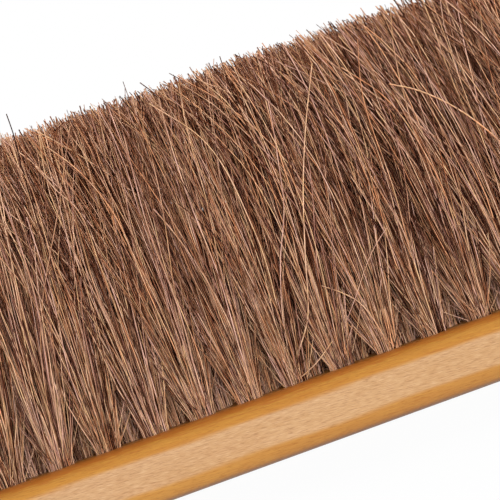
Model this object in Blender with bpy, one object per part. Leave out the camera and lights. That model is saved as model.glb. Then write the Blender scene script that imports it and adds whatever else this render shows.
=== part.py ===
"""Hand-held snow brush: a one-piece beech stock with a handle, filled with tufts of coconut fibre.

Each tuft is folded in half over a short flat wire, its anchor, and driven into a blind hole.
The brush lies on its back: the flat back of the stock rests on z = 0 and the fibres point up.
+X runs from the handle to the nose. The origin is on the back, under the middle of the tufted field.
All sizes are in metres.
"""

import math
import random

import bmesh
import bpy
from mathutils import Matrix, Vector

# Tuft holes: three rows, the middle one staggered by half a pitch and one tuft longer
TUFT_PITCH = 0.0128  # along a row
ROW_SPACING = 0.011  # across the stock
OUTER_ROW_TUFTS = 18
HOLE_DIAMETER = 0.0068
HOLE_SIDES = 12
DRILL_POINT_ANGLE = math.radians(118)
HOLE_FLOOR = 0.004  # wood left under the point of a hole
SIDE_FLARE = math.radians(4.0)  # how far the outer rows are drilled outwards
END_FLARE = math.radians(5.0)  # how far the last tufts at each end are drilled outwards
FLARED_PITCHES = 3.0  # the end flare fades in over this many pitches

# Stock
STOCK_THICKNESS = 0.017
SIDE_LAND = 0.0006  # flat wood between an outer row's holes and the round edge
END_LAND = 0.0025  # the same at the nose and at the heel of the field
NOSE_LENGTH = 0.024
NOSE_FULLNESS = 2.5  # exponent of the nose's superellipse: 2 is an ellipse, more is squarer
FACE_EDGE_RADIUS = 0.0055  # round edge on the tufted side
BACK_EDGE_RADIUS = 0.0047  # round edge on the back

# Handle
SHOULDER_LENGTH = 0.050
NECK_WIDTH = 0.023
GRIP_WIDTH = 0.029
SWELL_LENGTH = 0.095  # from the neck to the widest part of the grip
HANDLE_LENGTH = 0.200  # from the start of the shoulders to the butt
BUTT_LENGTH = 0.020
BUTT_FULLNESS = 2.2
HANDLE_SIDE_FLAT = 0.002  # flat band left between the handle's round edges
HANG_HOLE_DIAMETER = 0.009
HANG_HOLE_WALL = 0.0105  # wood between the hang hole and the butt
HANG_HOLE_CHAMFER = 0.001

# Tufts
BRISTLE_LENGTH = 0.083  # trimmed length above the stock
CLEARANCE = 0.0003  # between a tuft's root and its hole
STRANDS_PER_TUFT = 6
STRAND_GAP = 0.0005  # between neighbouring strands where they leave the hole
STRAND_STEPS = 2
TIP_RADIUS = 0.0013  # from a strand's middle to its corners at the tip
TIP_JITTER = 0.0004
TIP_GAP = 0.0004  # least space left between the tips of neighbouring tufts
TRIM_JITTER = 0.0008
ROOT_LEAN = math.radians(3.5)  # the fibres leave the stock leaning towards the nose
TIP_LEAN = math.radians(9.0)  # and end leaning towards the handle
FOLD_PINCH = 0.65  # the folded end of a tuft is narrowed to this share along x
FOLD_SHARE = 0.85  # and drawn in to this share all round
FOLD_HEIGHT = 0.002

# Anchors: each lies across the stock, in the fold of its tuft, with both ends in the wood
ANCHOR_WIDTH = 0.0016  # down the hole
ANCHOR_THICKNESS = 0.0005
ANCHOR_HEIGHT = 0.0035  # from the bottom of the fold to the middle of the wire
ANCHOR_BITE = 0.0008  # how far each end reaches into the wood

# Fineness of the curved surfaces
EDGE_STEPS = 7
END_STEPS = 9
SHOULDER_STEPS = 9
GRIP_STEPS = 8
HANG_HOLE_SIDES = 20
CUTTER_OVERSHOOT = 0.003
SMOOTH_ANGLE = math.radians(40)
SEED = 7

# Sizes that follow from those above
HOLE_RADIUS = HOLE_DIAMETER / 2
HOLE_FLAT = HOLE_RADIUS * math.cos(math.pi / HOLE_SIDES)  # from a hole's axis to its flat sides
DRILL_POINT = HOLE_RADIUS / math.tan(DRILL_POINT_ANGLE / 2)
HOLE_DEPTH = STOCK_THICKNESS - HOLE_FLOOR - DRILL_POINT  # to where the drill's point begins
HALF_FIELD = OUTER_ROW_TUFTS * TUFT_PITCH / 2  # to the last tuft of the middle row
HALF_WIDTH = ROW_SPACING + HOLE_RADIUS + SIDE_LAND + FACE_EDGE_RADIUS
END_MARGIN = HOLE_RADIUS + END_LAND + FACE_EDGE_RADIUS
NOSE_X = HALF_FIELD + END_MARGIN
HEEL_X = -HALF_FIELD - END_MARGIN
NECK_X = HEEL_X - SHOULDER_LENGTH
BUTT_X = HEEL_X - HANDLE_LENGTH
HANDLE_EDGE_RADIUS = (STOCK_THICKNESS - HANDLE_SIDE_FLAT) / 2
HANG_HOLE_X = BUTT_X + HANG_HOLE_WALL + HANG_HOLE_DIAMETER / 2
ROOT_RADIUS = HOLE_FLAT - CLEARANCE
FOLD_RADIUS = ROOT_RADIUS * FOLD_SHARE
FOLD_DEPTH = HOLE_DEPTH + DRILL_POINT * (1 - FOLD_RADIUS / HOLE_FLAT) - CLEARANCE
ANCHOR_DEPTH = FOLD_DEPTH - ANCHOR_HEIGHT
ANCHOR_REACH = HOLE_FLAT + ANCHOR_BITE  # from the tuft's axis to the end of the wire
NEAREST_TUFT = min(TUFT_PITCH, math.hypot(TUFT_PITCH / 2, ROW_SPACING))
TIP_SPREAD = (NEAREST_TUFT - TIP_GAP) / 2 - TIP_JITTER - TIP_RADIUS  # from a tuft's axis to its strands


def mix(a, b, share):
    return a + (b - a) * share


def ease(share):
    """0 up to 0, 1 from 1 on and an S-curve between."""
    share = min(1.0, max(0.0, share))
    return share * share * (3 - 2 * share)


def clear_scene():
    for obj in list(bpy.data.objects):
        bpy.data.objects.remove(obj, do_unlink=True)


def make_material(name, colour, roughness):
    material = bpy.data.materials.new(name)
    material.use_nodes = True
    shader = material.node_tree.nodes["Principled BSDF"]
    shader.inputs["Base Color"].default_value = (*colour, 1.0)
    shader.inputs["Roughness"].default_value = roughness
    shader.inputs["Metallic"].default_value = 0.0
    return material


def add_object(name, bm, material=None, location=(0, 0, 0)):
    """A new object from a bmesh, smooth but for its corners."""
    bmesh.ops.recalc_face_normals(bm, faces=bm.faces)
    mesh = bpy.data.meshes.new(name)
    bm.to_mesh(mesh)
    bm.free()
    mesh.shade_smooth()
    mesh.set_sharp_from_angle(angle=SMOOTH_ANGLE)
    if material:
        mesh.materials.append(material)
    obj = bpy.data.objects.new(name, mesh)
    obj.location = location
    bpy.context.scene.collection.objects.link(obj)
    return obj


def cut(obj, name, bm):
    """Takes a cutter's shape out of an object and leaves the cutter as a guide."""
    cutter = add_object(name, bm)
    cutter.display_type = "WIRE"
    cutter.hide_render = True
    boolean = obj.modifiers.new(name, "BOOLEAN")
    boolean.operation = "DIFFERENCE"
    boolean.solver = "EXACT"
    boolean.object = cutter


def loft(bm, rings):
    """Skins a stack of equal rings and closes both ends; returns the two end faces."""
    for lower, upper in zip(rings, rings[1:]):
        for i in range(len(lower)):
            j = (i + 1) % len(lower)
            bm.faces.new((lower[i], lower[j], upper[j], upper[i]))
    return bm.faces.new(reversed(rings[0])), bm.faces.new(rings[-1])


def round_ring(bm, sides, radius, height, place=lambda point: point, pinch=1.0, turn=0.0):
    """Corners of a regular polygon at a height, pinched along x and then moved by place."""
    ring = []
    for i in range(sides):
        angle = 2 * math.pi * i / sides + turn
        point = Vector((radius * pinch * math.cos(angle), radius * math.sin(angle), height))
        ring.append(bm.verts.new(place(point)))
    return ring


def rounded_end(length, half_width, fullness):
    """Outline of a rounded end from its tip to its side, as (distance from the tip, half width)."""
    for i in range(END_STEPS + 1):
        angle = math.pi / 2 * i / END_STEPS
        along = length * (1 - math.cos(angle) ** (2 / fullness))
        across = half_width * math.sin(angle) ** (2 / fullness)
        yield along, across


def handle_half_width(x):
    """Shoulders drawn in to the neck, then a swelling grip."""
    if x > NECK_X:
        return mix(HALF_WIDTH, NECK_WIDTH / 2, ease((HEEL_X - x) / SHOULDER_LENGTH))
    return mix(NECK_WIDTH / 2, GRIP_WIDTH / 2, ease((NECK_X - x) / SWELL_LENGTH))


def stock_outline():
    """The stock seen from above, anticlockwise from the tip of the nose."""
    side = []
    for along, across in rounded_end(NOSE_LENGTH, HALF_WIDTH, NOSE_FULLNESS):
        side.append(Vector((NOSE_X - along, across)))
    butt_start = BUTT_X + BUTT_LENGTH
    for start, end, steps in ((HEEL_X, NECK_X, SHOULDER_STEPS), (NECK_X, butt_start, GRIP_STEPS)):
        for i in range(steps):
            x = mix(start, end, i / steps)
            side.append(Vector((x, handle_half_width(x))))
    butt = list(rounded_end(BUTT_LENGTH, handle_half_width(butt_start), BUTT_FULLNESS))
    for along, across in reversed(butt):
        side.append(Vector((BUTT_X + along, across)))
    return side + [Vector((point.x, -point.y)) for point in reversed(side[1:-1])]


def inset(outline, distances):
    """The outline moved inwards, each point by its own distance, along the mitre of its two edges."""
    moved = []
    for i, point in enumerate(outline):
        before = (point - outline[i - 1]).normalized()
        after = (outline[(i + 1) % len(outline)] - point).normalized()
        inwards = Vector((-before.y - after.y, before.x + after.x)).normalized()
        mitre = inwards.dot(Vector((-before.y, before.x)))
        moved.append(point + inwards * distances[i] / mitre)
    return moved


def make_blank():
    """The undrilled stock: its outline stacked from the back to the face, drawn in round both edges."""
    outline = stock_outline()
    handle_share = [ease((HEEL_X - point.x) / SHOULDER_LENGTH) for point in outline]
    back_radii = [mix(BACK_EDGE_RADIUS, HANDLE_EDGE_RADIUS, share) for share in handle_share]
    face_radii = [mix(FACE_EDGE_RADIUS, HANDLE_EDGE_RADIUS, share) for share in handle_share]
    turns = [math.pi / 2 * step / EDGE_STEPS for step in range(EDGE_STEPS + 1)]
    bm = bmesh.new()
    rings = []
    for turn in turns:
        points = inset(outline, [radius * (1 - math.sin(turn)) for radius in back_radii])
        heights = [radius * (1 - math.cos(turn)) for radius in back_radii]
        rings.append([bm.verts.new((p.x, p.y, z)) for p, z in zip(points, heights)])
    for turn in turns:
        points = inset(outline, [radius * (1 - math.cos(turn)) for radius in face_radii])
        heights = [STOCK_THICKNESS - radius * (1 - math.sin(turn)) for radius in face_radii]
        rings.append([bm.verts.new((p.x, p.y, z)) for p, z in zip(points, heights)])
    loft(bm, rings)
    return bm


def tuft_places():
    """Name, x and side (-1 front, 0 middle, 1 rear) of every tuft, from the handle to the nose."""
    for row, side, count in (
        ("front", -1, OUTER_ROW_TUFTS),
        ("middle", 0, OUTER_ROW_TUFTS + 1),
        ("rear", 1, OUTER_ROW_TUFTS),
    ):
        for i in range(count):
            x = (i - (count - 1) / 2) * TUFT_PITCH
            yield f"{row}_tuft_{i + 1:02d}", x, side


def tuft_mouth(x, side):
    """Where a tuft's axis crosses the face of the stock."""
    return Vector((x, side * ROW_SPACING, STOCK_THICKNESS))


def tuft_axis(x, side):
    """The way a tuft's hole is drilled, up and out of the stock."""
    pitches_to_end = (HALF_FIELD - abs(x)) / TUFT_PITCH
    end_share = max(0.0, 1 - pitches_to_end / FLARED_PITCHES)
    along = math.copysign(math.tan(END_FLARE) * end_share, x)
    across = side * math.tan(SIDE_FLARE)
    return Vector((along, across, 1)).normalized()


def tilt_to(axis):
    return Vector((0, 0, 1)).rotation_difference(axis).to_matrix()


def make_drills():
    """The drilled holes as solids, each with the point of its drill and a flat side to its anchor."""
    half_side = math.pi / HOLE_SIDES
    bm = bmesh.new()
    for _name, x, side in tuft_places():
        mouth = tuft_mouth(x, side)
        tilt = tilt_to(tuft_axis(x, side))

        def place(point):
            return mouth + tilt @ point

        rings = [
            round_ring(bm, HOLE_SIDES, HOLE_RADIUS, -HOLE_DEPTH, place, turn=half_side),
            round_ring(bm, HOLE_SIDES, HOLE_RADIUS, CUTTER_OVERSHOOT, place, turn=half_side),
        ]
        bottom, _top = loft(bm, rings)
        point = bmesh.ops.poke(bm, faces=[bottom])["verts"][0]
        point.co = place(Vector((0, 0, -HOLE_DEPTH - DRILL_POINT)))
    return bm


def make_anchor_slots():
    """The slots that the anchors' ends lie in, each as one bar right through its hole."""
    room = Vector((CLEARANCE, CLEARANCE, CLEARANCE))
    size = 2 * (Vector((ANCHOR_THICKNESS / 2, ANCHOR_REACH, ANCHOR_WIDTH / 2)) + room)
    bm = bmesh.new()
    for _name, x, side in tuft_places():
        axis = tuft_axis(x, side)
        middle = tuft_mouth(x, side) - axis * ANCHOR_DEPTH
        place = Matrix.Translation(middle) @ tilt_to(axis).to_4x4() @ Matrix.Diagonal((*size, 1))
        bmesh.ops.create_cube(bm, size=1, matrix=place)
    return bm


def make_hang_hole():
    """The hang hole as a solid, wider at both faces by its chamfer."""
    radius = HANG_HOLE_DIAMETER / 2
    flare = HANG_HOLE_CHAMFER + CUTTER_OVERSHOOT

    def place(point):
        return point + Vector((HANG_HOLE_X, 0, 0))

    bm = bmesh.new()
    rings = [
        round_ring(bm, HANG_HOLE_SIDES, radius + flare, -CUTTER_OVERSHOOT, place),
        round_ring(bm, HANG_HOLE_SIDES, radius, HANG_HOLE_CHAMFER, place),
        round_ring(bm, HANG_HOLE_SIDES, radius, STOCK_THICKNESS - HANG_HOLE_CHAMFER, place),
        round_ring(bm, HANG_HOLE_SIDES, radius + flare, STOCK_THICKNESS + CUTTER_OVERSHOOT, place),
    ]
    loft(bm, rings)
    return bm


def lean(share):
    """Shift along x of a fibre at this share of its length, bent evenly from root to tip."""
    root_slope = math.tan(ROOT_LEAN)
    bend = root_slope + math.tan(TIP_LEAN)
    return BRISTLE_LENGTH * (root_slope * share - bend * share * share / 2)


def draw_strand(bm, face, axis, chance):
    """Draws a strand out of a face of the tuft's root, bending and splaying up to the trimmed tip."""
    root = face.calc_center_median()
    outwards = (root - axis * root.dot(axis)).normalized()
    root_spread = root.dot(outwards)
    root_radius = (face.verts[0].co - root).length
    shrink = (TIP_RADIUS / root_radius) ** (1 / STRAND_STEPS)
    stray = Vector((chance.uniform(-1, 1), chance.uniform(-1, 1), 0)) * TIP_JITTER / math.sqrt(2)
    trim = chance.uniform(-1, 1) * TRIM_JITTER
    for step in range(1, STRAND_STEPS + 1):
        share = step / STRAND_STEPS
        centre = axis * (BRISTLE_LENGTH * share / axis.z)
        centre += outwards * mix(root_spread, TIP_SPREAD, share) + stray * share
        centre.x += lean(share)
        centre.z = BRISTLE_LENGTH * share + trim * share
        face = bmesh.ops.extrude_discrete_faces(bm, faces=[face])["faces"][0]
        old_centre = face.calc_center_median()
        for vert in face.verts:
            corner = (vert.co - old_centre) * shrink
            corner.z = 0.0 if step == STRAND_STEPS else corner.z
            vert.co = centre + corner


def draw_anchor_end(bm, way):
    """Draws an end of the anchor out of the root's flat side that faces this way across the stock."""
    face = max(bm.faces, key=lambda face: face.normal.y * way)
    for y in (face.calc_center_median().y, way * ANCHOR_REACH):
        face = bmesh.ops.extrude_discrete_faces(bm, faces=[face])["faces"][0]
        middle = face.calc_center_median()
        for vert in face.verts:
            x = math.copysign(ANCHOR_THICKNESS / 2, vert.co.x)
            z = math.copysign(ANCHOR_WIDTH / 2, vert.co.z - middle.z) - ANCHOR_DEPTH
            vert.co = Vector((x, y, z))


def make_root(bm):
    """The folded root about its mouth, upright, with its anchor; returns the face at the mouth."""
    rings = [
        round_ring(bm, STRANDS_PER_TUFT, FOLD_RADIUS, -FOLD_DEPTH, pinch=FOLD_PINCH),
        round_ring(bm, STRANDS_PER_TUFT, ROOT_RADIUS, FOLD_HEIGHT - FOLD_DEPTH),
        round_ring(bm, STRANDS_PER_TUFT, ROOT_RADIUS, 0),
    ]
    _bottom, mouth = loft(bm, rings)
    bm.normal_update()
    for way in (-1, 1):
        draw_anchor_end(bm, way)
    return mouth


def make_tuft(x, side, chance):
    """A tuft about its hole's mouth: the folded root in the hole and the strands that leave it."""
    axis = tuft_axis(x, side)
    bm = bmesh.new()
    mouth = make_root(bm)
    bmesh.ops.transform(bm, matrix=tilt_to(axis), verts=bm.verts)
    roots = bmesh.ops.poke(bm, faces=[mouth])["faces"]
    bmesh.ops.inset_individual(bm, faces=roots, thickness=STRAND_GAP / 2, use_even_offset=True)
    for face in roots:
        draw_strand(bm, face, axis, chance)
    return bm


def build():
    clear_scene()
    beech = make_material("lacquered_beech", (0.62, 0.31, 0.11), 0.32)
    fibre = make_material("coconut_fibre", (0.21, 0.10, 0.06), 0.75)
    stock = add_object("stock", make_blank(), beech)
    cut(stock, "tuft_hole_drills", make_drills())
    cut(stock, "anchor_slots", make_anchor_slots())
    cut(stock, "hang_hole_drill", make_hang_hole())
    chance = random.Random(SEED)
    for name, x, side in tuft_places():
        add_object(name, make_tuft(x, side, chance), fibre, tuft_mouth(x, side))


build()
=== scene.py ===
"""Looks of the snow brush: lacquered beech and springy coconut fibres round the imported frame."""

import math

import bmesh
import bpy
import numpy as np
from mathutils import Matrix, Vector


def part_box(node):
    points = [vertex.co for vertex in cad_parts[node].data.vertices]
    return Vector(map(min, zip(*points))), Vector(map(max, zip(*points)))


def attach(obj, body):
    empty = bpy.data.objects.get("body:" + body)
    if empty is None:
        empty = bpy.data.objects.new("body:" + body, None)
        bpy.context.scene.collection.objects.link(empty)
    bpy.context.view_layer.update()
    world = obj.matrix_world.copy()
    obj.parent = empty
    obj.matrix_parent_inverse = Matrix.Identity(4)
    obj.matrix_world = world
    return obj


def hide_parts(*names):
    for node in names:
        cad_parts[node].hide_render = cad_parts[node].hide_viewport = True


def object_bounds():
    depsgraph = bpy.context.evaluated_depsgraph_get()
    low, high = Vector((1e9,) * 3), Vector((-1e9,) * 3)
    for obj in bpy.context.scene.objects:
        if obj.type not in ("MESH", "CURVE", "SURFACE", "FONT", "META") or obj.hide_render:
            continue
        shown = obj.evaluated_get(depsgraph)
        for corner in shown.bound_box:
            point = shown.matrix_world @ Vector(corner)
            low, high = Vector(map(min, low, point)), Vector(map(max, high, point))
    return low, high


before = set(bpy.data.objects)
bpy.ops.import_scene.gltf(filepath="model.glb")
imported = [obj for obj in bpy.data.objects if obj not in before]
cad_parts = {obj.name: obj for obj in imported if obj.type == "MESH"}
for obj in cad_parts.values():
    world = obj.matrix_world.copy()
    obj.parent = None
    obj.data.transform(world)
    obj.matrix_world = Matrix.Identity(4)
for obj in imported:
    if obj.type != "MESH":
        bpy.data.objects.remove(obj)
cad_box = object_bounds()

MM = 0.001  # lengths are in metres
X, Y, Z = range(3)  # along the brush, across it and upright
FULL_TURN = 2 * math.pi
SEED = 20
BODY = "root"
STOCK = "stock"
FIBRE_SLOT = "coconut_fibre"
WOOD_SLOT = "lacquered_beech"
STOCK_LOW, STOCK_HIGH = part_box(STOCK)
FACE = STOCK_HIGH.z  # height of the face that the tufts stand on
BRISTLE_LENGTH = 83 * MM  # above that face

# Camera: it looks along +Y with the brush's axis rising to the right, as photographed
VIEW_X = 5.15 * MM
VIEW_HEIGHT = 53.2 * MM
VIEW_DISTANCE = 0.75
VIEW_YAW = math.radians(8.67)
VIEW_ELEVATION = math.radians(-0.5)
VIEW_ROLL = math.radians(19.43)
LENS_MM = 213.0

# Light: angles are in degrees and sizes in metres, and azimuth 0 is in front of the brush
LAMPS = {
    "key": {"azimuth": 16, "elevation": 14, "size": (0.12, 0.12), "radiance": 80.0, "mirrored": False},
    "front": {"azimuth": -8, "elevation": 2, "size": (0.40, 0.40), "radiance": 17.2, "mirrored": False},
    "back": {"azimuth": 180, "elevation": 35, "size": (0.60, 0.60), "radiance": 14.0, "mirrored": False},
    "sheen": {"azimuth": -5, "elevation": 12, "size": (0.90, 0.50), "radiance": 2.0, "mirrored": True},
}
LIGHT_DISTANCE = 1.2
WORLD_STRENGTH = 0.25
WHITE = (1, 1, 1, 1)
FLOOR_COLOUR = (0.95, 0.95, 0.95, 1)
FLOOR_WHITE_SHARE = 0.96  # how much of the floor's look is plain white and not its shaded colour
FLOOR_HALF_SIZE = 20.0
FLOOR_DROP = 0.3 * MM  # gap between the stock's back and the floor

# Shape of a fibre
FIBRE_STEPS = 13
STEP_CROWDING = 1.15  # more than 1 sets the steps closer together near the root
FIBRE_SIDES = 4
FIBRE_RADIUS = (0.085 * MM, 0.225 * MM)
FINE_FAVOUR = 1.5  # more than 1 makes thin fibres commoner than thick ones
FIBRE_TAPER = 0.75
SUNK = 3.0 * MM  # how deep in the hole a fibre starts
WAVES = (0.1 * MM, 0.9 * MM)  # how far a wave goes to each side
WAVE_BEATS = (1, 2)  # waves in the free length
BEAT_SPREAD = (0.7, 1.4)
WAVE_GROWTH = 0.2  # share of the free length over which the waves grow to their full size

# A tuft's roots
FIBRES_PER_TUFT = 340
SEAT_REACH = 0.6 * MM  # a tuft's points this near to a level count as on it
ROOT_FULLNESS = 1.06  # a fibre bundle fills its hole, where the solid tuft keeps a gap
ROOT_JITTER = 0.15  # in radians
GOLDEN_ANGLE = math.pi * (3 - math.sqrt(5))  # from each root to the next, to fill the hole evenly
LOCKS = 7  # groups of fibres in a tuft that bend together
LOCK_AREAS = (0.1, 1.0)  # shares of the tuft's area within which the locks' middles lie
LOCK_INSET = 0.8
LOCK_PULL = 0.10

# Slants in degrees from upright: at the root, in the middle and at the tip
LEAN_PLACES = (-47 * MM, -16 * MM, 16 * MM, 47 * MM, 78 * MM)  # along the brush, for FIELD_LEAN
FIELD_LEAN = (
    (1.0, -4.0, -1.0, -5.0, -5.0),
    (10.0, -6.0, 9.0, 2.0, -11.0),
    (-8.0, -6.0, -14.0, -23.0, -19.0),
)
FAN = (7.0, 4.0, 2.5)  # extra slant of a fibre at the rim of its hole
SCATTER = (4.0, 9.5, 14.0)
LOCK_SCATTER = (1.0, 2.2, 3.2)
WILD_BEND = (4.0, 12.0, 26.0)
WILD_SHARE = 0.05  # fibres that bend far more than the rest
WILD_STRENGTH = (0.4, 1.3)
WILD_BACKWARD = 0.8  # share of them that bend towards the handle
WILD_SIDEWAYS = 0.7
FUZZ_SCATTER = 13.0
STEEPEST = 55.0

# Lengths: a reach is a share of the free length, and the other shares are of the fibres
TRIM_DROP = 1.3 * MM  # the level of the cut tips below the tallest strand
TRIM_SCATTER = 0.8 * MM
TALL_SHARE = 0.015
TALL_EXTRA = (0.8 * MM, 2.6 * MM)
SHORT_SHARE = 0.14
SHORT_REACH = (0.25, 0.97)
FUZZ_SHARE = 0.32  # broken fibres that fill the foot of a tuft
FUZZ_REACH = (0.04, 0.26)
FUZZ_THINNESS = 0.7
SIDE_ROOM = 7 * MM  # how far fibres may stand out past the solid model
FREE_ROOM = 0.6  # share of that room past which they are drawn in more and more
LEAST_USE = 0.01  # keeps a fibre that uses no room from a division by zero

# Stray fibres
FRONT_TUFT = "front_tuft_09"
STRAY_STEPS = 40
STRAY_HEIGHTS = (0.0, 4 * MM, BRISTLE_LENGTH)
STRAY_REACH = (13.6 * MM, 16.5 * MM, 30.0 * MM)  # how far in front of the brush's middle at those heights
# Tone, hue, radius and place of the root, then places along the brush with heights above the stock, in mm
STRAYS = (
    (0.00, 0.15, 0.19, -44.8, ((-44.0, 40.0), (-43.2, 75.2), (-42.6, 83.1), (-42.6, 88.0))),
    (0.10, 0.70, 0.16, -6.4, ((-10.0, 45.0), (-12.4, 83.4), (-12.4, 86.3))),
    (0.10, 0.70, 0.16, 19.2, ((16.0, 45.0), (12.8, 81.3), (12.8, 84.5))),
    (0.05, 0.95, 0.19, -32.0, ((-34.5, 60.0), (-34.5, 76.0), (-31.5, 80.7), (-28.3, 81.5),
                               (-24.5, 77.2))),
    (1.00, 0.90, 0.28, 83.2, ((83.5, 12.0), (81.5, 27.0), (75.7, 40.4), (70.5, 48.5), (64.2, 55.7),
                              (57.9, 60.9), (52.1, 64.2))),
    (0.85, 0.60, 0.22, 6.4, ((14.0, 15.8), (18.2, 31.0), (23.2, 47.8), (27.4, 59.0), (34.7, 75.4))),
    (0.80, 0.10, 0.18, 6.4, ((11.1, 29.9), (17.0, 45.0), (18.7, 54.5), (20.3, 64.1), (21.1, 70.4))),
    (0.80, 0.90, 0.18, 44.8, ((45.0, 40.0), (44.9, 65.6), (47.7, 77.4))),
    (0.85, 0.90, 0.20, -19.2, ((-23.0, 35.0), (-26.0, 59.4), (-30.8, 70.2), (-35.7, 77.1))),
    (1.00, 0.40, 0.17, -32.0, ((-32.5, 45.0), (-34.0, 61.3), (-36.6, 65.6), (-40.0, 73.5))),
    (0.85, 0.60, 0.18, -44.8, ((-44.0, 40.0), (-42.9, 62.0), (-42.6, 67.9), (-45.2, 78.8))),
    (0.85, 0.90, 0.20, 57.6, ((56.5, 40.0), (49.5, 62.2), (41.5, 72.1))),
    (0.85, 0.60, 0.20, 6.4, ((7.5, 40.0), (1.8, 66.9), (-7.9, 79.0))),
    (0.95, 0.60, 0.17, 32.0, ((31.2, 3.3), (30.1, 8.0), (27.0, 15.2), (24.6, 17.7), (19.6, 21.6))),
    (0.75, 0.10, 0.16, 19.2, ((28.5, 17.7), (36.1, 26.7), (40.6, 30.2))),
    (0.95, 0.60, 0.17, 6.4, ((8.9, 1.8), (11.7, 3.1), (17.9, 7.3))),
)

# Masks and tints. A mask holds a value's two ends, then the share of tint at each, or else 0 and 1.
# Colours are as a picture shows them, apart from the hue tints, which are plain factors.
# A stretch holds a noise's waves to the metre in x, y and z.
NOISE_RANGE = (0.3, 0.7)  # most of a noise lies between these

# Colour of the fibres, from tone 0 to tone 1
FIBRE_BROWNS = (
    (0.00, (0.100, 0.025, 0.010)),
    (0.22, (0.390, 0.210, 0.145)),
    (0.50, (0.748, 0.520, 0.402)),
    (0.75, (0.865, 0.660, 0.522)),
    (0.90, (0.928, 0.735, 0.592)),
    (1.00, (0.968, 0.797, 0.660)),
)
MIDDLE_TONE = 0.5
TONE_SPREAD = 0.68  # less than 1 makes dark and light fibres commoner than middling ones
LOCK_TONE = 0.02
RIDGE_SHADING = 0.38  # painted highlight and shade across each fibre: lighter along two opposite edges of its tube, darker along the other two
PATCH_STRETCH = (300, 300, 70)
PATCH_TONE = 0.18
FOOT = (FACE + 40 * MM, FACE)  # heights over which the fibres change towards their feet
FOOT_PAINTED_LIGHT = 0.20  # how much lighter they are painted: painted light at the feet
FOOT_CONTRAST = 1.6  # how many times more they differ from each other
CLUSTER_STRETCH = (350, 350, 60)
CLUSTER_HUE = 0.3  # how far neighbours share their hue
RUSTY_HUES = (0.75, 1.0)
RUSTY = (1.02, 0.81, 0.64, 1)
YELLOW_HUES = ((0.45, 0.60), (0.80, 0.66))  # it comes in over the first and goes over the second
YELLOW = (1.00, 1.00, 0.83, 1)
MAUVE_HUES = (0.30, 0.0)
MAUVE = (0.95, 0.93, 1.12, 1)
STREAK_STRETCH = (900, 900, 120)
STREAK_MASK = (0.35, 0.75, 0.0, 0.45)
STREAK_BROWN = (0.50, 0.36, 0.28)
SKIN = (14 * MM, 26.5 * MM)  # how far out the fibres stand, at the stock and at the tips
CORE_DEPTH = (0.95, 0.70)  # the painted shade of the core begins between these shares of the way out to the skin
CORE_FOOT = (FACE + 2 * MM, FACE + 20 * MM)
CORE_TOP = (FACE + 78 * MM, FACE + 55 * MM)
CORE_SHADE = 0.35  # how much the painted shade darkens and warms the fibres inside the tufts
CORE_SHADE_BROWN = (0.82, 0.76, 0.75)
FIBRE_BUMP = {"Strength": 0.3, "Distance": 0.1 * MM}
FIBRE_FINISH = {"Roughness": 0.5, "Specular IOR Level": 0.08}

# Wood: a level is a share of the stock's thickness, and upright is 1 on the stock's flat faces
GRAIN_SLANT = math.radians(-5)
BROAD_STRETCH = (6, 120, 120)
WANDER_STRETCH = (25, 300, 300)
MOTTLE_STRETCH = (60, 420, 420)
GRAIN_STRETCH = (110, 3300, 3300)
FLECK_STRETCH = (460, 6500, 6500)
WANDER = 0.02  # how far a band of colour strays from its level
EDGE_FRAY = 0.03
GOLDEN = ((0.765, 0.535, 0.212), (0.722, 0.478, 0.175))
# Painted light: the lower half of the stock is painted paler, since the bristles shade the upper edge
GOLDEN_LOWER_PAINTED_LIGHT = ((0.5, 0.2, 0.0, 0.2), (0.78, 0.64, 0.42))
GOLDEN_DARK_GRAIN = ((0.52, 0.72, 0.0, 0.35), (0.66, 0.37, 0.11))
GOLDEN_LIGHT_GRAIN = ((0.46, 0.30, 0.0, 0.30), (0.83, 0.63, 0.28))
GOLDEN_FLECKS = ((0.53, 0.66, 0.0, 0.45), (0.60, 0.36, 0.12))
# Painted shade of the bristles: darker orange-brown near the top of the stock, on its rounded edge and
# half as much on its face
EDGE_SHADE_LEVELS = (0.86, 0.97, 0.0, 0.8)
EDGE_SHADE_UPRIGHT = (0.999, 0.99, 0.5, 1.0)
EDGE_SHADE_BROWN = (0.70, 0.39, 0.14)
# Painted shade on the lowest part of the bottom rounded edge, where the stock meets the floor
UNDER_SHADE_LEVELS = (0.09, 0.0, 0.0, 0.75)
UNDER_SHADE_UPRIGHT = (0.999, 0.97)
UNDER_SHADE_BROWN = (0.42, 0.24, 0.12)
# Painted reflection: the flat of the side is painted pale where the lacquer mirrors the light
PALE_REFLECTION = ((0.785, 0.618, 0.448), (0.757, 0.582, 0.406))
PALE_BROAD = ((0.35, 0.65, 0.0, 0.4), (0.775, 0.610, 0.410))
PALE_DARK_FLECKS = ((0.54, 0.68, 0.0, 0.55), (0.58, 0.39, 0.25))
PALE_LIGHT_FLECKS = ((0.48, 0.30, 0.0, 0.35), (0.90, 0.77, 0.63))
REFLECTION_BAND = (0.26, 0.735)  # levels of the painted reflection on the flat of the side
REFLECTION_BLUR = 0.045
REFLECTION_UPRIGHT = (0.75, 0.55)
WOOD_ROUGHNESS = (0.2, 0.8, 0.42, 0.52)  # the broad noise's two ends, and the roughness at each
WOOD_BUMP = {"Strength": 0.15, "Distance": 0.1 * MM}
WOOD_FINISH = {"Specular IOR Level": 0.3, "Coat Weight": 0.3, "Coat Roughness": 0.35}
SHARP_ANGLE = math.radians(40)  # corners of the wood that stay crisp
JOIN_REACH = 0.001 * MM

# The curve between a picture's values and linear ones
SRGB_KNEE = 0.04045
SRGB_SLOPE = 12.92
SRGB_OFFSET = 0.055
SRGB_POWER = 2.4


def srgb(red, green, blue):
    """Linear colour from the values that a picture shows."""
    channels = []
    for value in (red, green, blue):
        low = value / SRGB_SLOPE
        high = ((value + SRGB_OFFSET) / (1 + SRGB_OFFSET)) ** SRGB_POWER
        channels.append(low if value <= SRGB_KNEE else high)
    return (*channels, 1.0)


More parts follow.
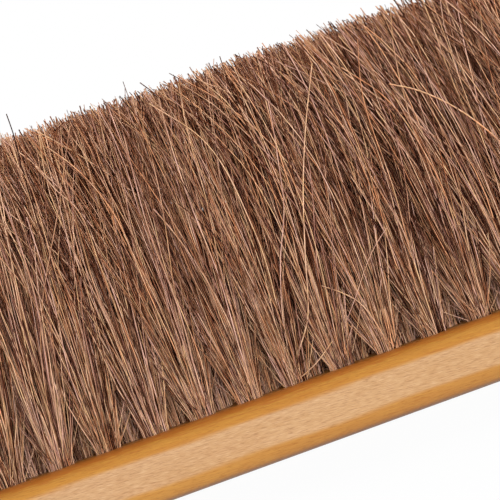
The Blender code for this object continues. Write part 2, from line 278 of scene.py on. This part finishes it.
class Nodes:
    """Short way to write a node tree."""

    def __init__(self, owner):
        owner.use_nodes = True
        self.tree = owner.node_tree
        self.tree.nodes.clear()

    def put(self, socket, value):
        if isinstance(value, bpy.types.NodeSocket):
            self.tree.links.new(value, socket)
        else:
            socket.default_value = value

    def add(self, kind, inputs=None, **settings):
        node = self.tree.nodes.new(kind)
        for name, value in settings.items():
            setattr(node, name, value)
        for name, value in (inputs or {}).items():
            self.put(node.inputs[name], value)
        return node

    def maths(self, operation, first, *others):
        """One number from one or more, taken in turn."""
        for other in others or (0.0,):
            first = self.add("ShaderNodeMath", {0: first, 1: other}, operation=operation).outputs[0]
        return first

    def mix(self, share, first, second, blend="MIX"):
        """A mix of two colours, through the numbered sockets that a mix keeps for colours."""
        share_in, first_in, second_in, colour_out = 0, 6, 7, 2
        inputs = {share_in: share, first_in: first, second_in: second}
        return self.add("ShaderNodeMix", inputs, data_type="RGBA", blend_type=blend).outputs[colour_out]

    def span(self, value, low, high, to_low=0.0, to_high=1.0, kind="SMOOTHSTEP"):
        """The value carried over from one range to another, and held at both ends."""
        inputs = {"Value": value, "From Min": low, "From Max": high}
        inputs.update({"To Min": to_low, "To Max": to_high})
        return self.add("ShaderNodeMapRange", inputs, interpolation_type=kind).outputs["Result"]

    def tint(self, colour, value, mask, tone, blend="MIX"):
        """The colour with a tint over it where the mask on the value says."""
        return self.mix(self.span(value, *mask), colour, srgb(*tone), blend)

    def noise(self, vector, stretch, detail):
        scaled = self.add("ShaderNodeMapping", {"Vector": vector, "Scale": stretch}).outputs["Vector"]
        inputs = {"Vector": scaled, "Scale": 1.0, "Detail": detail}
        return self.add("ShaderNodeTexNoise", inputs).outputs["Fac"]

    def attribute(self, name):
        return self.add("ShaderNodeAttribute", attribute_name=name).outputs["Fac"]

    def parts(self, vector):
        return self.add("ShaderNodeSeparateXYZ", {0: vector}).outputs

    def ramp(self, value, stops):
        node = self.add("ShaderNodeValToRGB", {"Fac": value})
        elements = node.color_ramp.elements
        for position, _ in stops[1:-1]:
            elements.new(position)
        for element, (position, colour) in zip(elements, stops):
            element.position = position
            element.color = srgb(*colour)
        return node.outputs["Color"]

    def seen(self):
        """One where the camera, a mirror or a glass sees the surface, and zero for other light."""
        path = self.add("ShaderNodeLightPath").outputs
        rays = [path[name] for name in ("Is Camera Ray", "Is Glossy Ray", "Is Transmission Ray")]
        return self.maths("MAXIMUM", *rays)

    def surface(self, colour, relief, bump, settings):
        """The material's surface: one shader with a bump."""
        normal = self.add("ShaderNodeBump", {"Height": relief, **bump}).outputs[0]
        inputs = {"Base Color": colour, "Normal": normal, **settings}
        shader = self.add("ShaderNodeBsdfPrincipled", inputs)
        self.add("ShaderNodeOutputMaterial", {"Surface": shader.outputs[0]})


def fibre_material():
    """Coconut fibre: every fibre has its own brown, streaked and patched along its length.
    Painted highlight and shade lie across each fibre, painted light on the feet and painted shade inside
    the tufts.
    """
    material = bpy.data.materials.new(FIBRE_SLOT)
    n = Nodes(material)
    place = n.add("ShaderNodeTexCoord").outputs["Object"]
    own = n.add("ShaderNodeCombineXYZ", {"X": n.attribute("hue"), "Y": n.attribute("tone")}).outputs[0]
    where = n.add("ShaderNodeVectorMath", {0: place, 1: own}, operation="ADD").outputs[0]
    parts = n.parts(place)
    height = parts["Z"]

    patch = n.span(n.noise(where, PATCH_STRETCH, detail=2.0), *NOISE_RANGE, -PATCH_TONE, PATCH_TONE)
    # painted highlight and shade across each fibre
    ridge_shading = n.span(n.attribute("ridge_shading"), 0.0, 1.0, -RIDGE_SHADING, RIDGE_SHADING)
    tone = n.maths("ADD", n.attribute("tone"), patch, ridge_shading)
    contrast = n.span(height, *FOOT, 1.0, FOOT_CONTRAST)
    tone = n.maths("MULTIPLY", n.maths("SUBTRACT", tone, MIDDLE_TONE), contrast)
    # painted light: the feet are painted lighter
    tone = n.maths("ADD", tone, MIDDLE_TONE, n.span(height, *FOOT, 0.0, FOOT_PAINTED_LIGHT))
    colour = n.ramp(tone, FIBRE_BROWNS)

    cluster = n.noise(place, CLUSTER_STRETCH, detail=2.0)
    hue = n.maths("ADD", n.attribute("hue"), n.span(cluster, *NOISE_RANGE, -CLUSTER_HUE, CLUSTER_HUE))
    yellow = n.maths("MULTIPLY", *(n.span(hue, *ends) for ends in YELLOW_HUES))
    colour = n.mix(n.span(hue, *RUSTY_HUES), colour, RUSTY, "MULTIPLY")
    colour = n.mix(yellow, colour, YELLOW, "MULTIPLY")
    colour = n.mix(n.span(hue, *MAUVE_HUES), colour, MAUVE, "MULTIPLY")
    streak = n.noise(where, STREAK_STRETCH, detail=3.0)
    colour = n.tint(colour, streak, STREAK_MASK, STREAK_BROWN, "MULTIPLY")

    # painted shade inside the tufts, darkest towards their core
    across = n.maths("ABSOLUTE", parts["Y"])
    skin = n.span(height, FACE, FACE + BRISTLE_LENGTH, *SKIN, kind="LINEAR")
    depth = n.span(n.maths("DIVIDE", across, skin), *CORE_DEPTH)
    core_shade = n.maths("MULTIPLY", depth, n.span(height, *CORE_FOOT), n.span(height, *CORE_TOP), CORE_SHADE)
    colour = n.mix(core_shade, colour, srgb(*CORE_SHADE_BROWN), "MULTIPLY")
    n.surface(colour, streak, FIBRE_BUMP, FIBRE_FINISH)
    return material


def wood_material():
    """Beech under a tinted lacquer, golden along both rounded edges. The pale flat of the side is a
    painted reflection, and painted shade and painted light lie along the upper and lower edges.
    """
    material = bpy.data.materials.new(WOOD_SLOT)
    n = Nodes(material)
    where = n.add("ShaderNodeTexCoord").outputs["Object"]
    turned = n.add("ShaderNodeMapping", {"Vector": where, "Rotation": (0, GRAIN_SLANT, 0)})
    slanted = turned.outputs["Vector"]
    broad = n.noise(slanted, BROAD_STRETCH, detail=4.0)
    grain = n.noise(slanted, GRAIN_STRETCH, detail=2.0)
    flecks = n.noise(slanted, FLECK_STRETCH, detail=2.0)
    mottle = n.noise(slanted, MOTTLE_STRETCH, detail=3.0)
    normal = n.add("ShaderNodeNewGeometry").outputs["Normal"]
    upright = n.maths("ABSOLUTE", n.parts(normal)["Z"])
    height = n.maths("DIVIDE", n.parts(where)["Z"], FACE)
    wander = n.span(n.noise(slanted, WANDER_STRETCH, detail=2.0), *NOISE_RANGE, -WANDER, WANDER)
    level = n.maths("ADD", height, wander)

    golden = n.mix(n.span(broad, *NOISE_RANGE), *(srgb(*tone) for tone in GOLDEN))
    # painted light: paler towards the bottom
    golden = n.tint(golden, height, *GOLDEN_LOWER_PAINTED_LIGHT)
    golden = n.tint(golden, grain, *GOLDEN_DARK_GRAIN)
    golden = n.tint(golden, grain, *GOLDEN_LIGHT_GRAIN)
    # painted shade next to the bristles
    frayed = n.maths("ADD", level, n.span(grain, *NOISE_RANGE, -EDGE_FRAY, EDGE_FRAY))
    edge_shade = n.maths("MULTIPLY", n.span(frayed, *EDGE_SHADE_LEVELS), n.span(upright, *EDGE_SHADE_UPRIGHT))
    golden = n.mix(edge_shade, golden, srgb(*EDGE_SHADE_BROWN))
    # painted shade along the bottom edge
    under_shade = n.maths("MULTIPLY", n.span(height, *UNDER_SHADE_LEVELS), n.span(upright, *UNDER_SHADE_UPRIGHT))
    golden = n.mix(under_shade, golden, srgb(*UNDER_SHADE_BROWN))
    golden = n.tint(golden, flecks, *GOLDEN_FLECKS)

    # painted reflection: the flat of the side is painted pale where the lacquer mirrors the light
    pale_reflection = n.mix(n.span(mottle, *NOISE_RANGE), *(srgb(*tone) for tone in PALE_REFLECTION))
    pale_reflection = n.tint(pale_reflection, broad, *PALE_BROAD)
    pale_reflection = n.tint(pale_reflection, flecks, *PALE_DARK_FLECKS)
    pale_reflection = n.tint(pale_reflection, flecks, *PALE_LIGHT_FLECKS)
    above = n.span(level, REFLECTION_BAND[0] - REFLECTION_BLUR, REFLECTION_BAND[0] + REFLECTION_BLUR)
    below = n.span(level, REFLECTION_BAND[1] + REFLECTION_BLUR, REFLECTION_BAND[1] - REFLECTION_BLUR)
    reflection_band = n.maths("MULTIPLY", above, below, n.span(upright, *REFLECTION_UPRIGHT))
    roughness = n.span(broad, *WOOD_ROUGHNESS)
    n.surface(n.mix(reflection_band, golden, pale_reflection), flecks, WOOD_BUMP, {"Roughness": roughness, **WOOD_FINISH})
    return material


def new_object(name, data):
    """An object in the scene's own collection."""
    made = bpy.data.objects.new(name, data)
    bpy.context.scene.collection.objects.link(made)
    return made


def make_stock(material):
    """The stock's own solid again, joined up so that its rounded parts look smooth."""
    bm = bmesh.new()
    bm.from_mesh(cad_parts[STOCK].data)
    bmesh.ops.remove_doubles(bm, verts=bm.verts, dist=JOIN_REACH)
    mesh = bpy.data.meshes.new("stock_wood")
    bm.to_mesh(mesh)
    bm.free()
    if "custom_normal" in mesh.attributes:
        mesh.attributes.remove(mesh.attributes["custom_normal"])
    mesh.shade_smooth()
    mesh.set_sharp_from_angle(angle=SHARP_ANGLE)
    mesh.materials.clear()
    mesh.materials.append(material)
    piece = new_object("stock_wood", mesh)
    normals = piece.modifiers.new("normals", "WEIGHTED_NORMAL")
    normals.keep_sharp = True
    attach(piece, BODY)
    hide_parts(STOCK)


def tubes(name, material, paths, radii, looks, rng):
    """One piece of closed tubes along many paths, each with its own looks as attributes."""
    count, points, _ = paths.shape
    steps = np.gradient(paths, axis=1)
    steps /= np.linalg.norm(steps, axis=2, keepdims=True)
    side = np.cross(steps, np.array([0.0, 1.0, 0.0]))
    side /= np.linalg.norm(side, axis=2, keepdims=True)
    other = np.cross(steps, side)
    turn = rng.uniform(0, FULL_TURN, (count, 1, 1))
    around = turn + np.arange(FIBRE_SIDES) * FULL_TURN / FIBRE_SIDES
    ring = np.cos(around)[..., None] * side[:, :, None, :]
    ring = ring + np.sin(around)[..., None] * other[:, :, None, :]
    verts = paths[:, :, None, :] + ring * radii[:, :, None, None]
    index = np.arange(count * points * FIBRE_SIDES).reshape(count, points, FIBRE_SIDES)
    after = np.roll(index, -1, axis=2)
    quads = np.stack([index[:, :-1], after[:, :-1], after[:, 1:], index[:, 1:]], axis=-1).reshape(-1, 4)
    ends = np.concatenate([index[:, 0, ::-1], index[:, -1]])

    mesh = bpy.data.meshes.new(name)
    mesh.from_pydata(verts.reshape(-1, 3).tolist(), [], quads.tolist() + ends.tolist())
    # marks every other edge of each tube, for the painted highlight and shade across the fibre
    attributes = {"ridge_shading": (np.arange(FIBRE_SIDES) % 2)[None, None, :]}
    attributes.update({label: values[:, None, None] for label, values in looks.items()})
    for label, values in attributes.items():
        layer = mesh.attributes.new(name=label, type="FLOAT", domain="POINT")
        values = np.broadcast_to(values, verts.shape[:3]).ravel()
        layer.data.foreach_set("value", values.astype(np.float32))
    mesh.materials.append(material)
    mesh.shade_smooth()
    mesh.validate()
    return new_object(name, mesh)


def tuft_seat(node):
    """Middle of a tuft's mouth, its hole's direction and its root's radius, read from the frame."""
    points = np.array([vert.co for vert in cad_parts[node].data.vertices])
    mouth = points[np.abs(points[:, Z] - FACE) < SEAT_REACH]
    fold = points[points[:, Z] < points[:, Z].min() + SEAT_REACH]
    top = (mouth.min(0) + mouth.max(0)) / 2
    bottom = (fold.min(0) + fold.max(0)) / 2
    direction = (top - bottom) / np.linalg.norm(top - bottom)
    return top, direction, (mouth[:, X].max() - mouth[:, X].min()) / 2


def polar(radius, angle):
    """Places in the plane of the face, from the mouth's middle."""
    return np.stack([radius * np.cos(angle), radius * np.sin(angle)], axis=1)


def tuft_roots(root_radius, rng):
    """Where the fibres of a tuft start, the middles of its locks, and each fibre's lock."""
    number = np.arange(FIBRES_PER_TUFT)
    radius = root_radius * ROOT_FULLNESS * np.sqrt((number + 0.5) / FIBRES_PER_TUFT)
    roots = polar(radius, number * GOLDEN_ANGLE + rng.normal(0, ROOT_JITTER, FIBRES_PER_TUFT))
    lock_angle = rng.uniform(0, FULL_TURN, LOCKS)
    lock_radius = root_radius * np.sqrt(rng.uniform(*LOCK_AREAS, LOCKS)) * LOCK_INSET
    middles = polar(lock_radius, lock_angle)
    lock = np.argmin(np.linalg.norm(roots[:, None] - middles[None], axis=2), axis=1)
    return roots, middles, lock


def fibre_heights(free, rng):
    """Heights above the mouth along each fibre, and which fibres are fuzz, for one free length."""
    count = FIBRES_PER_TUFT
    extra = rng.normal(0, TRIM_SCATTER, count)
    tall = rng.random(count) < TALL_SHARE
    extra = np.where(tall, rng.uniform(*TALL_EXTRA, count), extra)
    reach = 1 + extra / free
    short = rng.random(count) < SHORT_SHARE
    reach = np.where(short, rng.uniform(*SHORT_REACH, count), reach)
    fuzz = rng.random(count) < FUZZ_SHARE
    reach = np.where(fuzz, rng.uniform(*FUZZ_REACH, count), reach)
    along = np.linspace(0, 1, FIBRE_STEPS) ** STEP_CROWDING
    return -SUNK + (free * reach[:, None] + SUNK) * along[None, :], fuzz


def bent(slants, rise):
    """How far a fibre goes sideways, as a share of the free length, at each of its heights.

    Its slope is root * (1 - rise)**2 + middle * 2 * rise * (1 - rise) + tip * rise**2, and the way
    is the sum of the slope up to each height."""
    root, middle, tip = (np.tan(np.radians(np.clip(s, -STEEPEST, STEEPEST)))[:, None] for s in slants)
    way = root * rise * (1 - rise + rise**2 / 3)
    way += middle * rise**2 * (1 - 2 * rise / 3)
    return way + tip * rise**3 / 3


def waved(across, rise, rng):
    """The same places with the waves of each fibre added, which are least at its root."""
    count = len(across)
    grow = np.clip(rise / WAVE_GROWTH, 0, 1)
    for beats in WAVE_BEATS:
        size = rng.uniform(*WAVES, (count, 1)) / beats
        phase = rng.uniform(0, FULL_TURN, (count, 1))
        beat = rng.uniform(*BEAT_SPREAD, (count, 1)) * beats
        across = across + size * grow * np.sin(FULL_TURN * beat * rise + phase)
    return across


def drawn_in(across, room_low, room_high):
    """The same places, with each fibre that uses much of its room drawn in so that it stays inside."""
    used = np.maximum(across.max(1) / room_high, across.min(1) / room_low)
    used = np.maximum(used, LEAST_USE)
    kept = FREE_ROOM + (1 - FREE_ROOM) * np.tanh((used - FREE_ROOM) / (1 - FREE_ROOM))
    return across * np.where(used > FREE_ROOM, kept / used, 1)[:, None]


def tuft_paths(node, trim, rng):
    """Centre lines of one tuft's fibres from inside the hole, each one's lock, and which are fuzz."""
    mouth, direction, root_radius = tuft_seat(node)
    roots, middles, lock = tuft_roots(root_radius, rng)
    free = trim - mouth[Z]
    height, fuzz = fibre_heights(free, rng)
    rise = np.clip(height / free, 0, None)

    count = FIBRES_PER_TUFT
    wild = (rng.random(count) < WILD_SHARE) * rng.uniform(*WILD_STRENGTH, count)
    backward = rng.random(count) < WILD_BACKWARD
    wild_way = np.stack([np.where(backward, -1, 1), rng.normal(0, WILD_SIDEWAYS, count)])
    paths = np.zeros((count, FIBRE_STEPS, 3))
    for side in (X, Y):
        slants = []
        for part, lean in enumerate(FIELD_LEAN):
            slant = np.interp(mouth[X], LEAN_PLACES, lean) if side == X else 0.0
            slant = slant + FAN[part] * roots[:, side] / root_radius
            slant = slant + rng.normal(0, SCATTER[part], count)
            slant = slant + rng.normal(0, LOCK_SCATTER[part], LOCKS)[lock]
            slant = slant + wild * wild_way[side] * WILD_BEND[part]
            slant = slant + fuzz * rng.normal(0, FUZZ_SCATTER, count)
            slants.append(slant)
        pull = LOCK_PULL * rise
        across = roots[:, side, None] * (1 - pull) + middles[lock, side, None] * pull
        across = waved(across + free * bent(slants, rise), rise, rng)
        across = across + direction[side] / direction[Z] * height
        room_low = cad_box[0][side] - SIDE_ROOM - mouth[side]
        room_high = cad_box[1][side] + SIDE_ROOM - mouth[side]
        paths[:, :, side] = mouth[side] + drawn_in(across, room_low, room_high)
    paths[:, :, Z] = mouth[Z] + height
    return paths, lock, fuzz


def make_tufts(material):
    """The fibres of every tuft, one piece for each tuft of the frame."""
    rng = np.random.default_rng(SEED)
    trim = cad_box[1].z - TRIM_DROP
    taper = np.linspace(1.0, FIBRE_TAPER, FIBRE_STEPS)
    for node in sorted(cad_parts):
        if node == STOCK:
            continue
        paths, lock, fuzz = tuft_paths(node, trim, rng)
        count = len(paths)
        thickness = np.interp(rng.random(count) ** FINE_FAVOUR, (0, 1), FIBRE_RADIUS)
        thickness *= np.where(fuzz, FUZZ_THINNESS, 1.0)
        spread = rng.uniform(-1, 1, count)
        tone = MIDDLE_TONE + MIDDLE_TONE * np.sign(spread) * np.abs(spread) ** TONE_SPREAD
        tone = np.clip(tone + rng.normal(0, LOCK_TONE, LOCKS)[lock], 0, 1)
        looks = {"tone": tone, "hue": rng.random(count)}
        piece = tubes(node + "_fibres", material, paths, thickness[:, None] * taper, looks, rng)
        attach(piece, BODY)
        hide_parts(node)


def smooth_path(points, steps):
    """A smooth cubic curve through the points, in even steps along the chords between them."""
    chords = np.concatenate([[0], np.cumsum(np.linalg.norm(np.diff(points, axis=0), axis=1))])
    slopes = np.gradient(points, chords, axis=0)
    at = np.linspace(0, chords[-1], steps)
    i = np.clip(np.searchsorted(chords, at, side="right") - 1, 0, len(chords) - 2)
    span = (chords[i + 1] - chords[i])[:, None]
    t = (at - chords[i])[:, None] / span
    path = (2 * t**3 - 3 * t**2 + 1) * points[i] + (t**3 - 2 * t**2 + t) * span * slopes[i]
    return path + (3 * t**2 - 2 * t**3) * points[i + 1] + (t**3 - t**2) * span * slopes[i + 1]


def make_strays(material):
    """Single fibres that stand out from the rest; each comes out of a tuft of the front row."""
    rng = np.random.default_rng(SEED + 1)
    mouth = tuft_seat(FRONT_TUFT)[0]
    taper = np.linspace(1.0, FIBRE_TAPER, STRAY_STEPS)
    paths, radii, tones, hues = [], [], [], []
    for tone, hue, radius, root, places in STRAYS:
        root_points = [(root, -SUNK / MM), (root, 0.0)]
        along, height = (np.array([*root_points, *places]) * MM).T
        across = -np.interp(height, STRAY_HEIGHTS, STRAY_REACH)
        across[: len(root_points)] = mouth[Y]
        paths.append(smooth_path(np.stack([along, across, FACE + height], axis=1), STRAY_STEPS))
        radii.append(radius * MM * taper)
        tones.append(tone)
        hues.append(hue)
    looks = {"tone": np.array(tones), "hue": np.array(hues)}
    piece = tubes("stray_fibres", material, np.array(paths), np.array(radii), looks, rng)
    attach(piece, BODY)


def make_floor():
    """A wide pale floor that looks white and keeps a soft shadow."""
    half = FLOOR_HALF_SIZE
    mesh = bpy.data.meshes.new("floor")
    corners = [(-half, -half, 0), (half, -half, 0), (half, half, 0), (-half, half, 0)]
    mesh.from_pydata(corners, [], [range(len(corners))])
    floor = new_object("floor", mesh)
    floor.location.z = -FLOOR_DROP
    material = bpy.data.materials.new("floor")
    n = Nodes(material)
    diffuse = n.add("ShaderNodeBsdfDiffuse", {"Color": FLOOR_COLOUR})
    white = n.add("ShaderNodeEmission", {"Color": WHITE, "Strength": 1.0})
    share = n.maths("MULTIPLY", n.seen(), FLOOR_WHITE_SHARE)
    mixed = n.add("ShaderNodeMixShader", {0: share, 1: diffuse.outputs[0], 2: white.outputs[0]})
    n.add("ShaderNodeOutputMaterial", {"Surface": mixed.outputs[0]})
    mesh.materials.append(material)


def make_world():
    """Even light from all round, and white wherever the background is seen or mirrored."""
    world = bpy.data.worlds.new("studio")
    bpy.context.scene.world = world
    n = Nodes(world)
    strength = n.span(n.seen(), 0.0, 1.0, WORLD_STRENGTH, 1.0, kind="LINEAR")
    background = n.add("ShaderNodeBackground", {"Color": WHITE, "Strength": strength})
    n.add("ShaderNodeOutputWorld", {"Surface": background.outputs[0]})


def make_softbox(name, azimuth, elevation, size, radiance, mirrored):
    """An area light that faces the bristles, with the power that gives it the radiance."""
    turn, lift = math.radians(azimuth), math.radians(elevation)
    away = Vector((math.sin(turn) * math.cos(lift), -math.cos(turn) * math.cos(lift), math.sin(lift)))
    data = bpy.data.lights.new(name, "AREA")
    data.shape = "RECTANGLE"
    data.size, data.size_y = size
    data.energy = radiance * math.pi * size[0] * size[1]
    light = new_object(name, data)
    light.location = Vector((0, 0, VIEW_HEIGHT)) + away * LIGHT_DISTANCE
    light.rotation_euler = (-away).to_track_quat("-Z", "Y").to_euler()
    light.visible_camera = False
    light.visible_glossy = mirrored


def make_camera():
    """The photograph's view of the stock's near side."""
    level = math.cos(VIEW_ELEVATION)
    forward = Vector((math.sin(VIEW_YAW) * level, math.cos(VIEW_YAW) * level, -math.sin(VIEW_ELEVATION)))
    level_right = Vector((math.cos(VIEW_YAW), -math.sin(VIEW_YAW), 0))
    level_up = level_right.cross(forward)
    right = level_right * math.cos(VIEW_ROLL) - level_up * math.sin(VIEW_ROLL)
    up = level_right * math.sin(VIEW_ROLL) + level_up * math.cos(VIEW_ROLL)
    data = bpy.data.cameras.new("camera")
    data.lens = LENS_MM
    camera = new_object("camera", data)
    place = Matrix((right, up, -forward)).transposed().to_4x4()
    place.translation = Vector((VIEW_X, STOCK_LOW.y, VIEW_HEIGHT)) - forward * VIEW_DISTANCE
    camera.matrix_world = place
    bpy.context.scene.camera = camera


bpy.context.scene.view_settings.view_transform = "Standard"
make_camera()
make_world()
for name, lamp in LAMPS.items():
    make_softbox(name, **lamp)
make_floor()
make_stock(wood_material())
fibres = fibre_material()
make_tufts(fibres)
make_strays(fibres)
